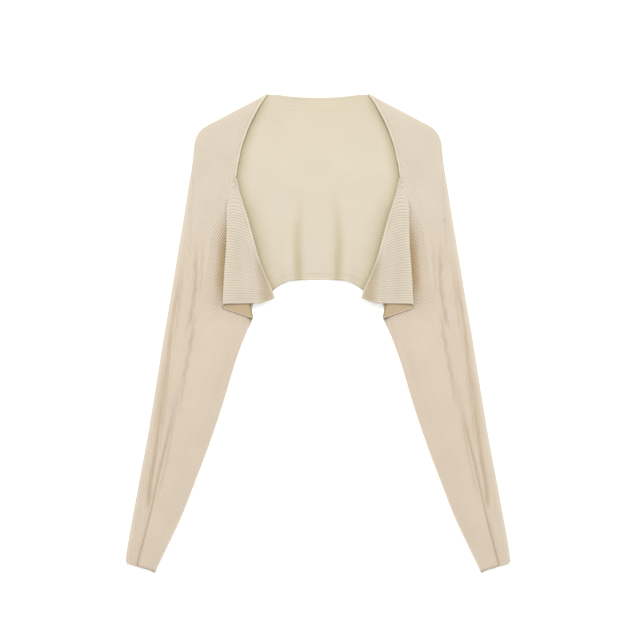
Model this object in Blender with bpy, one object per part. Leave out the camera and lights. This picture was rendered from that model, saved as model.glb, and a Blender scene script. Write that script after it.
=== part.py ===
"""An open-front cropped cardigan in a fine rib knit, laid flat with its fronts up.

Three pieces of knit make it. The back runs from cuff to cuff and wraps over the shoulders and
the tops of the sleeves onto the front. Each front holds the flap with its free edge, one deep
pleat beside it and the underside of the sleeve. The overarm seam and the underarm seam join them.

The garment lies in the XY plane with its neck towards +Y and its underside on z = 0. Sizes are in
millimetres: out is the distance from the centre line, down the distance below a level line that
lies NECK_RISE under the neck points.
"""

import math

import bmesh
import bpy
import numpy as np

MM = 0.001
UP = (0.0, 0.0, 1.0)

# Cloth
WALL = 1.6
RIB_RISE = 0.5
SEAM_GAP = 0.3
BED_GAP = 0.3

# Heights of the middle of each layer above the surface that the cardigan lies on, and turn radii
BACK_MID = WALL / 2
SLEEVE_MID = 3.4
UNDERARM_MID = WALL + BED_GAP + WALL / 2
PLEAT_TURN = 1.4
EDGE_TURN = (SLEEVE_MID - BACK_MID) / 2
NECK_EDGE_LIFT = 3.0
FLAP_EDGE_DROP = 2.4
FLAP_EDGE_BEND = 12.0
SLEEVE_PUFF = 2.6

# Ribs and the points that carry them
BACK_RIB_PITCH = 3.72
BACK_FIRST_RIB = 8.0
BACK_LAST_RIB = 298.0
RIB_END_GAP = 1.8
YOKE_RIBS = 25
OVERARM_RIBS = 45
FRONT_RIBS = 48
POINTS_PER_RIB = 2
PLAIN_STEP = 6
BACK_STEP = 12

# Stations along the rows, as shares of the way, and round a fold, in degrees
FLAP_STATIONS = (0.0, 0.25, 0.5, 0.75, 1.0)
SLEEVE_STATIONS = (0.0, 0.12, 0.26, 0.42, 0.6, 0.8, 1.0)
UPPER_STATIONS = (0.0, 0.25, 0.5, 0.75, 0.97, 1.0)
UNDER_STATIONS = (0.0, 0.34, 0.67, 1.0)
TURN_ANGLES = (45.0, 90.0, 135.0)

# Plan lines of one half, each a row of (out, down)
LENGTH = 717.2
NECK_RISE = 5.2
BACK_NECK = ((0.0, 1.3), (24.0, 0.7), (36.0, -0.2), (48.0, -1.4), (62.0, -3.4), (75.2, -4.6))
FOLD_LINE = (
    (75.5, -5.2), (80.0, -3.4), (87.0, 0.9), (99.0, 7.6), (120.0, 18.4), (150.0, 34.4),
    (165.0, 42.2), (174.0, 48.2), (180.0, 55.4), (184.0, 64.8), (186.0, 76.5), (187.4, 91.5),
    (189.8, 109.5), (192.4, 124.5), (202.0, 184.5), (207.0, 214.5), (221.8, 304.5), (232.0, 364.5),
    (246.4, 454.5), (256.4, 514.5), (267.8, 574.5), (273.2, 604.5), (284.2, 664.5), (287.8, 688.0),
    (288.4, 699.5),
)
NECK_EDGE = (
    (75.8, -5.2), (80.0, 0.5), (87.0, 12.9), (94.6, 27.0), (107.8, 57.0), (114.0, 75.8),
    (119.6, 102.0), (122.2, 121.5),
)
FRONT_EDGE = (
    (122.2, 121.5), (116.1, 148.5), (105.9, 180.0), (96.9, 213.0), (87.9, 244.5),
    (77.6, 270.0), (68.6, 289.5), (64.5, 301.5),
)
FLAP_HEM = ((64.5, 301.5), (75.0, 305.0), (85.0, 309.0), (98.0, 309.4), (120.0, 309.8), (143.5, 310.5))
PLEAT_EDGE = (
    (134.0, 148.5), (137.2, 160.0), (138.3, 190.0), (138.6, 220.5), (141.3, 259.5), (143.8, 310.5),
)
PLEAT_INNER = ((133.5, 148.5), (115.0, 242.0), (97.5, 331.5))
OVERARM_SEAM = (
    (122.8, 121.5), (134.0, 137.5), (144.0, 155.0), (153.0, 177.0), (159.5, 199.0), (165.0, 230.0),
    (171.0, 274.5), (181.5, 319.5), (193.5, 370.5), (204.5, 430.0), (219.0, 487.0),
    (234.0, 547.5), (252.0, 628.5), (271.5, 703.5),
)
UNDERARM = (
    (97.5, 331.5), (105.0, 347.5), (112.3, 364.5), (123.0, 394.5), (141.0, 454.5), (161.0, 514.5),
    (183.5, 574.5), (207.2, 634.5), (221.5, 664.5), (244.5, 712.0),
)
BACK_HEM = (
    (0.0, 274.2), (27.0, 275.2), (36.0, 274.4), (45.0, 276.6), (54.0, 280.9), (67.5, 289.5),
    (82.0, 303.0), (92.0, 318.0), (97.5, 331.5),
)
CUFF = ((288.4, 699.5), (271.5, 703.5), (244.5, 712.0))
CUFF_CORNER = 3.0
SHOULDER_LENGTH = 134.0
SEAM_TO_SHOULDER_RIB = 250.0
NECK_EDGE_REACH = 60.0
YOKE_BOW = 8.0
FLAP_RIB_BOW = 12.0

# The pleat: where its top lies among a front's rows and along the seam
PLEAT_TOP_ROW = 0.13
PLEAT_TOP_SHARE = 0.6
PLEAT_FADE_ROWS = (0.08, 0.28)
PLEAT_HEM_SHIFT = 6.5

# Rows of a front against the length of its seam, the share of the pleat's inner line and the
# share of its free edge
SEAM_ROWS = ((0.0, 3.0), (0.13, 36.0), (0.4, 170.0), (0.65, 300.0), (0.87, 601.0))
INNER_ROWS = ((0.13, 0.0), (0.4, 0.37), (0.65, 0.70), (1.0, 1.0))
FLAP_EDGE_ROWS = ((0.0, 0.016), (0.13, 0.16), (0.35, 0.42), (0.565, 0.69), (0.78, 0.87), (1.0, 1.0))

# Lines down the back: from (length along the fold) to (length along the hem and underarm)
BACK_LINES = ((0.0, 79.0), (51.0, 160.0), (154.0, 215.0))
NECK_LINES = (0.0, 31.0, 48.0, 64.0)
HEM_SHARE_OF_NECK = 0.9
RIBBED_LINES = 3

# Largest folds: layer, rise at the middle, half width, and the line along the fold
FOLDS = (
    ("sleeve", -2.2, 6.0, ((177.0, 154.5), (181.5, 214.5), (184.5, 273.0), (186.5, 322.0))),
    ("sleeve", -2.8, 5.5, ((204.0, 234.0), (208.0, 273.0), (217.5, 322.5), (225.0, 350.0),
                           (231.0, 410.0), (237.0, 460.0), (246.0, 520.0), (253.0, 605.0))),
    ("sleeve", -1.5, 4.0, ((181.5, 319.5), (204.5, 430.0), (234.0, 547.5), (271.5, 703.5))),
    ("sleeve", 1.6, 9.0, ((152.0, 330.0), (172.0, 420.0), (204.0, 530.0), (236.0, 640.0))),
    ("flap", 3.4, 8.0, ((104.0, 196.0), (99.0, 230.0), (95.0, 262.0), (91.5, 312.0))),
    ("flap", -1.0, 8.0, ((122.0, 190.0), (121.0, 250.0), (118.0, 300.0))),
    ("back", 4.5, 9.0, ((46.0, 150.0), (45.0, 210.0), (43.0, 282.0))),
    ("back", 1.6, 10.0, ((92.0, 190.0), (86.0, 240.0), (74.0, 290.0))),
)


def ease(low, high, values):
    """A smooth step from 0 at low to 1 at high, which may be below low."""
    t = np.clip((np.asarray(values, float) - low) / (high - low), 0.0, 1.0)
    return t * t * (3.0 - 2.0 * t)


class Line:
    """A smooth plan line through a row of points, read by the share of its length."""

    STEPS = 12

    def __init__(self, *rows):
        runs = [self.smooth(np.array(row, float)) for row in rows]
        self.points = np.vstack([runs[0]] + [run[1:] for run in runs[1:]])
        self.walked = self.distances(self.points)
        self.length = self.walked[-1]

    @staticmethod
    def distances(points):
        return np.concatenate([[0.0], np.linalg.norm(np.diff(points, axis=0), axis=1).cumsum()])

    @classmethod
    def smooth(cls, points):
        """Cubic spans whose slope at a point follows both its neighbours."""
        if len(points) < 3:
            return points
        at = cls.distances(points)
        slopes = np.gradient(points, at, axis=0)
        found = [points[:1]]
        for i in range(len(points) - 1):
            gap = at[i + 1] - at[i]
            t = np.linspace(0.0, 1.0, cls.STEPS + 1)[1:, None]
            found.append(
                (2 * t**3 - 3 * t**2 + 1) * points[i]
                + (t**3 - 2 * t**2 + t) * gap * slopes[i]
                + (3 * t**2 - 2 * t**3) * points[i + 1]
                + (t**3 - t**2) * gap * slopes[i + 1]
            )
        return np.vstack(found)

    def at(self, shares):
        where = np.asarray(shares, float) * self.length
        return np.stack([np.interp(where, self.walked, self.points[:, k]) for k in (0, 1)], axis=-1)

    def at_length(self, lengths):
        return self.at(np.asarray(lengths, float) / self.length)

    def out_at(self, down):
        """How far out the line lies at a depth, for a line that only goes down."""
        return np.interp(down, self.points[:, 1], self.points[:, 0])

    def down_at(self, out):
        """How far down the line lies at a distance out, for a line that only goes out."""
        return np.interp(out, self.points[:, 0], self.points[:, 1])

    def left_of(self, shares):
        """The unit vector square to the line, on its left as it is walked in (out, down)."""
        step = 1.0 / self.length
        before, after = (np.clip(np.asarray(shares) + move, 0.0, 1.0) for move in (-step, step))
        along = self.at(after) - self.at(before)
        along /= np.linalg.norm(along, axis=-1, keepdims=True)
        return np.stack([along[..., 1], -along[..., 0]], axis=-1)

    def nearest(self, places):
        """Each place's distance from the line, and the share of its length where that is."""
        places = np.asarray(places, float)
        flat = places.reshape(-1, 2)
        start, end = self.points[:-1], self.points[1:]
        along = end - start
        square = (along**2).sum(axis=1)
        t = np.clip(((flat[:, None] - start) * along).sum(axis=2) / square, 0.0, 1.0)
        away = np.linalg.norm(flat[:, None] - (start + t[..., None] * along), axis=2)
        best = away.argmin(axis=1)
        rows = np.arange(len(flat))
        walked = self.walked[best] + t[rows, best] * np.sqrt(square[best])
        shape = places.shape[:-1]
        return away[rows, best].reshape(shape), (walked / self.length).reshape(shape)


back_neck = Line(BACK_NECK)
fold_line = Line(FOLD_LINE)
neck_edge = Line(NECK_EDGE)
front_edge = Line(FRONT_EDGE)
flap_hem = Line(FLAP_HEM)
pleat_edge = Line(PLEAT_EDGE)
pleat_inner = Line(PLEAT_INNER)
overarm_seam = Line(OVERARM_SEAM)
underarm = Line(UNDERARM)
back_hem = Line(BACK_HEM)
back_bottom = Line(BACK_HEM, UNDERARM)
fold_lines = [(layer, rise, width, Line(points)) for layer, rise, width, points in FOLDS]


def folds_at(layer, places):
    """The rise of a layer's largest folds at each place."""
    rise = np.zeros(np.shape(places)[:-1])
    for of_layer, top, width, line in fold_lines:
        if of_layer == layer:
            away, share = line.nearest(places)
            rise += top * np.exp(-((away / width) ** 2)) * ease(0.0, 0.3, share)
    return rise


def sleeve_mid(places):
    """Height of the middle of the sleeve's and yoke's upper layer."""
    out, down = places[..., 0], places[..., 1]
    from_fold = fold_line.nearest(places)[0]
    from_underarm = underarm.nearest(places)[0]
    past_pleat = ease(2.0, 24.0, out - pleat_edge.out_at(down))
    past_pleat = np.maximum(past_pleat, ease(318.0, 350.0, down)) * ease(120.0, 175.0, down)
    puff = SLEEVE_PUFF * ease(0.0, 26.0, from_fold) * ease(0.0, 22.0, from_underarm) * past_pleat
    lift = NECK_EDGE_LIFT * np.exp(-neck_edge.nearest(places)[0] / 22.0) * ease(0.0, 30.0, down)
    rise = np.maximum(puff + folds_at("sleeve", places) * ease(0.0, 14.0, from_fold), 0.0)
    sink = (SLEEVE_MID - UNDERARM_MID) * np.exp(-from_underarm / 5.0)
    return SLEEVE_MID + rise + lift * ease(0.0, 10.0, from_fold) - sink


def back_mid(places):
    """Height of the middle of the layer that lies on the surface."""
    down = places[..., 1]
    return BACK_MID + np.maximum(folds_at("back", places), 0.0) * ease(140.0, 282.0, down)


class Wall:
    """A closed wall skinned over lines of points, for one side or both sides of the garment."""

    def __init__(self, name):
        self.name = name
        self.mesh = bmesh.new()

    def line(self, places, heights, shares, side):
        """Adds one line of points. Its shares say where each point lies along it."""
        middle = LENGTH / 2 - NECK_RISE
        made = []
        for (out, down), height, share in zip(places, heights, shares):
            point = (side * out * MM, (middle - down) * MM, height * MM)
            made.append((self.mesh.verts.new(point), share))
        return made

    def skin(self, first, second):
        """Faces between two lines of points that may be unlike in number."""
        i, j = 0, 0
        while i < len(first) - 1 or j < len(second) - 1:
            a, b = first[i][0], second[j][0]
            next_a = first[i + 1][1] if i < len(first) - 1 else math.inf
            next_b = second[j + 1][1] if j < len(second) - 1 else math.inf
            if abs(next_a - next_b) < 1e-6:
                self.face(a, first[i + 1][0], second[j + 1][0], b)
                i, j = i + 1, j + 1
            elif next_a < next_b:
                self.face(a, first[i + 1][0], b)
                i += 1
            else:
                self.face(a, second[j + 1][0], b)
                j += 1

    def face(self, *corners):
        kept = [corner for k, corner in enumerate(corners) if corner is not corners[k - 1]]
        if len(kept) > 2:
            self.mesh.faces.new(kept)

    def skin_all(self, lines):
        for first, second in zip(lines, lines[1:]):
            self.skin(first, second)

    def make(self, collection, material):
        bmesh.ops.recalc_face_normals(self.mesh, faces=self.mesh.faces)
        if self.mesh.calc_volume(signed=True) < 0.0:
            bmesh.ops.reverse_faces(self.mesh, faces=self.mesh.faces)
        data = bpy.data.meshes.new(self.name)
        self.mesh.to_mesh(data)
        self.mesh.free()
        data.materials.append(material)
        made = bpy.data.objects.new(self.name, data)
        collection.objects.link(made)
        return made


def ends(lines, which):
    """The first or last point of each line, with an even count as its share."""
    return [(line[which][0], k / (len(lines) - 1)) for k, line in enumerate(lines)]


def normals_of(grid):
    """Unit normals of a grid of (out, down, height), towards the right side of the knit."""

    def direction(axis):
        steps = np.diff(grid, axis=axis)
        steps /= np.maximum(np.linalg.norm(steps, axis=-1, keepdims=True), 1e-9)
        first = np.take(steps, [0], axis=axis)
        last = np.take(steps, [-1], axis=axis)
        return np.concatenate([first, steps], axis=axis) + np.concatenate([steps, last], axis=axis)

    normal = np.cross(direction(1), direction(0))
    return normal / np.linalg.norm(normal, axis=-1, keepdims=True)


def rib_rises(count):
    """How far each row stands out: the valley beside a rib and its crest by turns."""
    return np.where(np.arange(count) % POINTS_PER_RIB == 1, RIB_RISE, 0.0)


class Layer:
    """A grid of middle points, one row along each rib and one column for each station."""

    def __init__(self, rows, grid, seam_station):
        self.rows = rows
        self.grid = grid
        self.normals = normals_of(grid)
        self.normals[:, seam_station] = UP
        self.count = len(rows)
        self.stations = grid.shape[1]
        self.every = np.arange(self.count)
        self.sparse = self.every[self.every % PLAIN_STEP == 0]

    def line(self, wall, side, station, kept, distance):
        """The wall's line of points at a station, at a distance from its middle."""
        moved = self.grid[kept, station] + self.normals[kept, station] * np.reshape(distance, (-1, 1))
        return wall.line(moved[:, :2], moved[:, 2], self.rows[kept], side)

    def right_side(self, wall, side, station, ribbed):
        """The ribbed side, with each rib's points or without ribs."""
        if ribbed:
            return self.line(wall, side, station, self.every, WALL / 2 + rib_rises(self.count))
        return self.line(wall, side, station, self.sparse, WALL / 2)

    def wrong_side(self, wall, side, station, at_seam):
        """The plain side, with as many points at the seam as the piece that it meets."""
        return self.line(wall, side, station, self.every if at_seam else self.sparse, -WALL / 2)


def along_table(table, values):
    """Reads a table of pairs at many values, with its corners rounded off."""
    at, found = np.transpose(table)
    mean = np.mean([np.interp(values + move, at, found) for move in np.linspace(-0.05, 0.05, 11)], axis=0)
    rounded = ease(0.0, 0.05, values - at[0]) * ease(0.0, 0.05, at[-1] - values)
    return np.interp(values, at, found) * (1.0 - rounded) + mean * rounded


def front_layer():
    """One front as rows from its free edge over the flap, round the pleat and down to the seam."""
    rows = np.linspace(0.0, 1.0, FRONT_RIBS * POINTS_PER_RIB + 1)
    below_top = np.clip((rows - PLEAT_TOP_ROW) / (1.0 - PLEAT_TOP_ROW), 0.0, 1.0)
    to_cuff = Line(OVERARM_SEAM, CUFF[1:])
    at_seam = to_cuff.at_length(along_table((*SEAM_ROWS, (1.0, to_cuff.length)), rows))
    at_seam -= (SEAM_GAP / 2, 0.0)
    edge = front_edge.at(along_table(FLAP_EDGE_ROWS, rows))

    above = edge + (at_seam - edge) * PLEAT_TOP_SHARE
    above += (pleat_edge.at(below_top) - above) * ease(0.0, PLEAT_TOP_ROW, rows)[:, None]
    within = (PLEAT_TURN + WALL / 2, 0.0)
    outer_fold = above - within
    inner_share = along_table(INNER_ROWS, rows)
    inner_fold = np.where(rows[:, None] < PLEAT_TOP_ROW, above, pleat_inner.at(inner_share)) + within
    under_fold = outer_fold + np.outer(below_top**4, (0.0, PLEAT_HEM_SHIFT))
    low, middle, high = (SLEEVE_MID + turns * PLEAT_TURN for turns in (0, 2, 4))
    columns = []

    def add(places, height):
        columns.append(np.column_stack([places, np.broadcast_to(height, rows.shape)]))

    for share in FLAP_STATIONS:
        places = edge + (outer_fold - edge) * share
        straight = edge[-1] + (outer_fold[-1] - edge[-1]) * share
        to_hem = (flap_hem.at(share) - straight) * min(1.0, 4.0 * (1.0 - share))
        places = places + np.outer(below_top**3, to_hem)
        bow = ease(0.0, 0.2, below_top) * ease(1.0, 0.75, below_top)
        places[:, 1] -= FLAP_RIB_BOW * share * (1.0 - share) * bow
        drop = FLAP_EDGE_DROP * np.exp(-front_edge.nearest(places)[0] / FLAP_EDGE_BEND)
        add(places, high + folds_at("flap", places) - drop)
    for angle in TURN_ANGLES:
        turn = math.radians(angle)
        places = outer_fold + (under_fold - outer_fold) * (angle / 180.0)
        add(places + (PLEAT_TURN * math.sin(turn), 0.0), middle + PLEAT_TURN * (1.0 + math.cos(turn)))
    for share in (0.0, 0.5, 1.0):
        add(under_fold + (inner_fold - under_fold) * share, middle)
    for angle in TURN_ANGLES:
        turn = math.radians(angle)
        add(inner_fold - (PLEAT_TURN * math.sin(turn), 0.0), low + PLEAT_TURN * (1.0 + math.cos(turn)))
    for share in SLEEVE_STATIONS:
        straight = inner_fold[-1] + (underarm.at(1.0) - inner_fold[-1]) * share
        to_underarm = underarm.at(share) - straight
        places = inner_fold + (at_seam - inner_fold) * share
        places += np.outer(ease(0.0, 1.0, below_top) ** 2, to_underarm)
        add(places, sleeve_mid(places))

    pleated = np.stack(columns, axis=1)
    spread = np.linspace(0.0, 1.0, len(columns))[None, :, None]
    plain = edge[:, None, :] + (at_seam - edge)[:, None, :] * spread
    plain = np.concatenate([plain, sleeve_mid(plain)[..., None]], axis=-1)
    folded = ease(*PLEAT_FADE_ROWS, rows)[:, None, None]
    return Layer(rows, plain + (pleated - plain) * folded, seam_station=-1)


def build_front(side, name, collection, material):
    """One front: the flap, the pleat beside it and the underside of the sleeve."""
    wall = Wall(name)
    layer = front_layer()
    first_hidden = len(FLAP_STATIONS) + len(TURN_ANGLES) - 1
    first_shown = layer.stations - len(SLEEVE_STATIONS)
    right, wrong = [], []
    for station in range(layer.stations):
        hidden = first_hidden <= station < first_shown
        right.append(layer.right_side(wall, side, station, ribbed=not hidden))
        wrong.append(layer.wrong_side(wall, side, station, at_seam=station == layer.stations - 1))
    wall.skin_all(right)
    wall.skin_all(wrong)
    wall.skin(right[0], wrong[0])
    wall.skin(right[-1], wrong[-1])
    wall.skin(ends(right, 0), ends(wrong, 0))
    wall.skin(ends(right, -1), ends(wrong, -1))
    return wall.make(collection, material)


class Wrap:
    """The parts of the back that lie on top: yoke and overarm, and their fold round to the back."""

    def __init__(self):
        ribs = YOKE_RIBS + OVERARM_RIBS
        rows = np.linspace(0.0, 1.0, ribs * POINTS_PER_RIB + 1)
        shoulder = YOKE_RIBS / ribs
        to_cuff = Line(OVERARM_SEAM, CUFF[1::-1])
        self.walked = np.interp(
            rows, (0.0, shoulder, 1.0), (0.0, SHOULDER_LENGTH, fold_line.length - CUFF_CORNER))
        self.outward = fold_line.left_of(self.walked / fold_line.length)
        self.fold = fold_line.at_length(self.walked) - self.outward * (EDGE_TURN + WALL / 2)
        at_seam = to_cuff.at_length(np.interp(
            rows, (0.0, shoulder, 1.0), (0.0, SEAM_TO_SHOULDER_RIB, to_cuff.length - CUFF_CORNER)))
        at_seam += (SEAM_GAP / 2, 0.0)
        near_neck = np.exp(-self.walked / NECK_EDGE_REACH)
        bow = YOKE_BOW * ease(0.0, shoulder, rows) * ease(1.5 * shoulder, shoulder, rows)
        columns = []
        for share in UPPER_STATIONS:
            places = at_seam + (self.fold - at_seam) * share
            if 0.0 < share < 1.0:
                places += np.outer(near_neck, neck_edge.at(1.0 - share) - places[0])
            places[:, 0] += bow * 4.0 * share * (1.0 - share)
            columns.append(np.column_stack([places, sleeve_mid(places)]))
        self.layer = Layer(rows, np.stack(columns, axis=1), seam_station=0)
        kept = self.layer.every[:-1]
        self.across = np.append(kept[kept % BACK_STEP == 0], self.layer.every[-1])

    def turn(self, wall, side, radius, angle):
        """A line of points along the fold, at an angle round it from its outermost line."""
        kept = self.layer.sparse
        turned = math.radians(angle)
        places = self.fold[kept] + self.outward[kept] * radius * math.cos(turned)
        heights = np.full(len(kept), BACK_MID + EDGE_TURN + radius * math.sin(turned))
        return wall.line(places, heights, self.layer.rows[kept], side)

    def right_side(self, wall, side):
        lines = [
            self.layer.right_side(wall, side, station, ribbed=station < self.layer.stations - 1)
            for station in range(self.layer.stations)
        ]
        return lines + [self.turn(wall, side, EDGE_TURN + WALL / 2, angle) for angle in (45.0, 0.0, -45.0)]

    def wrong_side(self, wall, side):
        lines = [
            self.layer.wrong_side(wall, side, station, at_seam=station == 0)
            for station in range(self.layer.stations)
        ]
        return lines + [self.turn(wall, side, EDGE_TURN - WALL / 2, 0.0)]


def back_line(wall, side, top, bottom, ribbed):
    """One line down the back from its top edge, as the plain underside and the side that shows."""
    shares = np.array(UNDER_STATIONS)
    under_places = top + np.outer(shares, bottom - top)
    under = wall.line(under_places, back_mid(under_places) - WALL / 2, under_places[:, 1], side)
    if ribbed:
        downs = np.arange(BACK_FIRST_RIB, BACK_LAST_RIB, BACK_RIB_PITCH / POINTS_PER_RIB)
        inside = (downs > top[1] + RIB_END_GAP) & (downs < bottom[1] - RIB_END_GAP)
        downs = np.concatenate([[top[1]], downs[inside], [bottom[1]]])
        rises = np.concatenate([[0.0], rib_rises(len(inside))[inside], [0.0]])
    else:
        downs = under_places[:, 1]
        rises = 0.0
    places = top + np.outer((downs - top[1]) / (bottom[1] - top[1]), bottom - top)
    over = wall.line(places, back_mid(places) + WALL / 2 + rises, downs, side)
    return under, over


def build_back(name, collection, material):
    """The back from cuff to cuff, with the yokes and overarms that wrap onto the front."""
    wall = Wall(name)
    wrap = Wrap()
    fold_walked, bottom_walked = np.transpose(BACK_LINES)
    bottom_walked = np.append(bottom_walked, back_bottom.length)
    fold_walked = np.append(fold_walked, wrap.walked[-1])

    def from_fold(side, row, ribbed):
        bottom = back_bottom.at_length(np.interp(wrap.walked[row], fold_walked, bottom_walked))
        return back_line(wall, side, wrap.fold[row], bottom, ribbed)

    def from_neck(side, out):
        hem_out = out * HEM_SHARE_OF_NECK
        top = np.array((out, back_neck.down_at(out)))
        bottom = np.array((hem_out, back_hem.down_at(hem_out)))
        return back_line(wall, side, top, bottom, ribbed=True)

    halves = {
        side: [from_fold(side, row, ribbed=k < RIBBED_LINES) for k, row in enumerate(wrap.across)]
        for side in (-1, 1)
    }
    middle = [from_neck(-1, out) for out in NECK_LINES[:0:-1]] + [from_neck(1, out) for out in NECK_LINES]
    across = halves[-1][::-1] + middle + halves[1]
    under = [line[0] for line in across]
    over = [line[1] for line in across]
    wall.skin_all(under)
    wall.skin_all(over)
    wall.skin(ends(under, -1), ends(over, -1))
    neck = slice(len(wrap.across) - 1, len(across) - len(wrap.across) + 1)
    wall.skin(ends(under, 0)[neck], ends(over, 0)[neck])

    for side, lines in halves.items():
        rows = wrap.layer.rows[wrap.across]
        right = wrap.right_side(wall, side)
        right.append([(line[0][0][0], row) for line, row in zip(lines, rows)])
        wrong = wrap.wrong_side(wall, side)
        wrong.append([(line[1][0][0], row) for line, row in zip(lines, rows)])
        wall.skin_all(right)
        wall.skin_all(wrong)
        wall.skin(right[0], wrong[0])
        flat = wrap.layer.stations
        right_shares = np.append(np.arange(flat), flat - 1 + np.linspace(0.25, 1.0, len(right) - flat))
        wrong_shares = np.append(np.arange(flat), flat - 1 + np.linspace(0.5, 1.0, len(wrong) - flat))
        wall.skin(
            [(line[0][0], share) for line, share in zip(right, right_shares)],
            [(line[0][0], share) for line, share in zip(wrong, wrong_shares)],
        )
        cuff_under, cuff_over = (
            [(point, flat + k) for k, (point, _) in enumerate(line)][1:] for line in lines[-1]
        )
        wall.skin(
            [(line[-1][0], share) for line, share in zip(right, right_shares)] + cuff_under,
            [(line[-1][0], share) for line, share in zip(wrong, wrong_shares)] + cuff_over,
        )
    return wall.make(collection, material)


def knit_material(name, colour):
    """Matt knit of one colour."""
    material = bpy.data.materials.new(name)
    material.use_nodes = True
    shader = material.node_tree.nodes["Principled BSDF"]
    shader.inputs["Base Color"].default_value = (*colour, 1.0)
    shader.inputs["Roughness"].default_value = 0.9
    shader.inputs["Metallic"].default_value = 0.0
    return material


def main():
    for old in list(bpy.data.objects):
        bpy.data.objects.remove(old, do_unlink=True)
    collection = bpy.data.collections.new("open_front_cardigan")
    bpy.context.scene.collection.children.link(collection)
    build_back("back", collection, knit_material("knit_back", (0.74, 0.66, 0.53)))
    build_front(-1, "front_left", collection, knit_material("knit_front_left", (0.73, 0.64, 0.51)))
    build_front(1, "front_right", collection, knit_material("knit_front_right", (0.73, 0.64, 0.51)))


main()
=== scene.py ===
"""An open-front cropped cardigan in a fine rib knit, laid flat with its fronts up.

The back piece runs from cuff to cuff and wraps over the shoulders and the tops of the sleeves.
Each front piece holds the flap, one deep pleat and the underside of the sleeve. Plan sizes are in
millimetres: out is the distance from the centre line, down the distance below a level line that
lies NECK_RISE under the neck points.
"""

from __future__ import annotations

import logging
import math
from dataclasses import dataclass
from enum import Enum
from typing import NamedTuple, Sequence

import bmesh
import bpy
import numpy as np
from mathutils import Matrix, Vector


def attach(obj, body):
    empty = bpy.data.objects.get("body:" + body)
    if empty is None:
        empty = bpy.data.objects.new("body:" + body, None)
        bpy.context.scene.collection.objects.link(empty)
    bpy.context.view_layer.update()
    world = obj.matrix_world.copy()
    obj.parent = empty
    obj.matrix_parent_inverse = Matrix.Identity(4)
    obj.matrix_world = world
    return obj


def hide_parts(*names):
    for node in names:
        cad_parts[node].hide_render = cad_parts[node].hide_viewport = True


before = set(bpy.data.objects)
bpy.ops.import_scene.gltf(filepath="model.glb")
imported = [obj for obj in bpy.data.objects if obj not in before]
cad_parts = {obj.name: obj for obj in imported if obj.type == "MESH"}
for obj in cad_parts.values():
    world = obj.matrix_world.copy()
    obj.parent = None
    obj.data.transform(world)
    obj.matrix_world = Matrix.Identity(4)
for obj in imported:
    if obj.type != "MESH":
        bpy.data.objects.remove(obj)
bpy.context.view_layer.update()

LOG = logging.getLogger("cardigan")

Array = np.ndarray
Span = tuple[float, float]
Band = tuple[float, float, float, float]
Table = Sequence[Span]
Colour = tuple[float, float, float]
Piece = bpy.types.Object
Socket = bpy.types.NodeSocket

MM = 0.001
BODY = "root"
BACK_NAME = "back_knit"

# The cloth's wall, the garment's length, and how far the neck points lie over the level line
WALL = 1.6
LENGTH = 717.2
NECK_RISE = 5.2

# Heights of the middle of the layers above the floor, and the radii of the cloth's turns
BACK_MID = WALL / 2
SLEEVE_MID = 3.4
UNDERARM_MID = 2.7
PLEAT_TURN = 1.4
EDGE_TURN = (SLEEVE_MID - BACK_MID) / 2

# The gap in the overarm seam, the round of the cuff's corner, and how close points are one
SEAM_GAP = 0.04
CUFF_CORNER = 3.0
JOIN_WITHIN = 0.02

# Plan lines of one half, each a row of (out, down)
BACK_NECK = ((0, 1.3), (24, 0.7), (36, -0.2), (48, -1.4), (62, -3.4), (75.2, -4.6))
FOLD_LINE = (
    (75.5, -5.2), (80, -3.4), (87, 0.9), (99, 7.6), (120, 18.4), (150, 34.4), (165, 42.2),
    (174, 48.2), (180, 55.4), (184, 64.8), (186, 76.5), (187.4, 91.5), (189.8, 109.5),
    (192.4, 124.5), (202, 184.5), (207, 214.5), (221.8, 304.5), (232, 364.5), (246.4, 454.5),
    (256.4, 514.5), (267.8, 574.5), (273.2, 604.5), (284.2, 664.5), (287.8, 688), (288.4, 699.5),
)
NECK_EDGE = (
    (75.8, -5.2), (80, 0.5), (87, 12.9), (94.6, 27), (107.8, 57), (114, 75.8), (119.6, 102),
    (122.2, 121.5),
)
FRONT_EDGE = (
    (122.2, 121.5), (116.1, 148.5), (105.9, 180), (96.9, 213), (87.9, 244.5), (77.6, 270),
    (68.6, 289.5), (64.5, 301.5),
)
FLAP_HEM = ((64.5, 301.5), (75, 305), (85, 309), (98, 309.4), (120, 309.8), (143.5, 310.5))
PLEAT_EDGE = (
    (134, 148.5), (136.4, 160), (137, 190), (137.6, 220.5), (140.4, 259.5), (143.4, 310.5),
)
PLEAT_INNER = ((133.5, 148.5), (115, 242), (97.5, 331.5))
OVERARM_SEAM = (
    (122.8, 121.5), (134, 137.5), (144, 155), (153, 177), (159.5, 199), (165, 230), (171, 274.5),
    (181.5, 319.5), (193.5, 370.5), (204.5, 430), (219, 487), (234, 547.5), (252, 628.5),
    (271.5, 703.5),
)
UNDERARM = (
    (97.5, 331.5), (105, 347.5), (112.3, 364.5), (123, 394.5), (141, 454.5), (161, 514.5),
    (183.5, 574.5), (207.2, 634.5), (221.5, 664.5), (244.5, 712),
)
BACK_HEM = (
    (0, 274.2), (27, 275.2), (36, 274.4), (45, 276.6), (54, 280.9), (67.5, 289.5), (82, 299.5),
    (92, 306.5), (98.5, 313.5), (99, 322.5), (97.5, 331.5),
)
CUFF = ((288.4, 699.5), (271.5, 703.5), (244.5, 712))

# The stitches: how far they slant, their share in the height, and where a rib's groove is
STITCH_SLANT = 1.1
LOOP_SHARE = 0.35
GROOVE_SLOPE, GROOVE_START = 5.0, 1.6

# Ribs to a millimetre where they fade, and how far from the overarm seam they are clear
CROWDED, SPREAD_OUT, OFF_SEAM = (0.55, 0.40), (0.08, 0.16), (0.0, 3.0)

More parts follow.
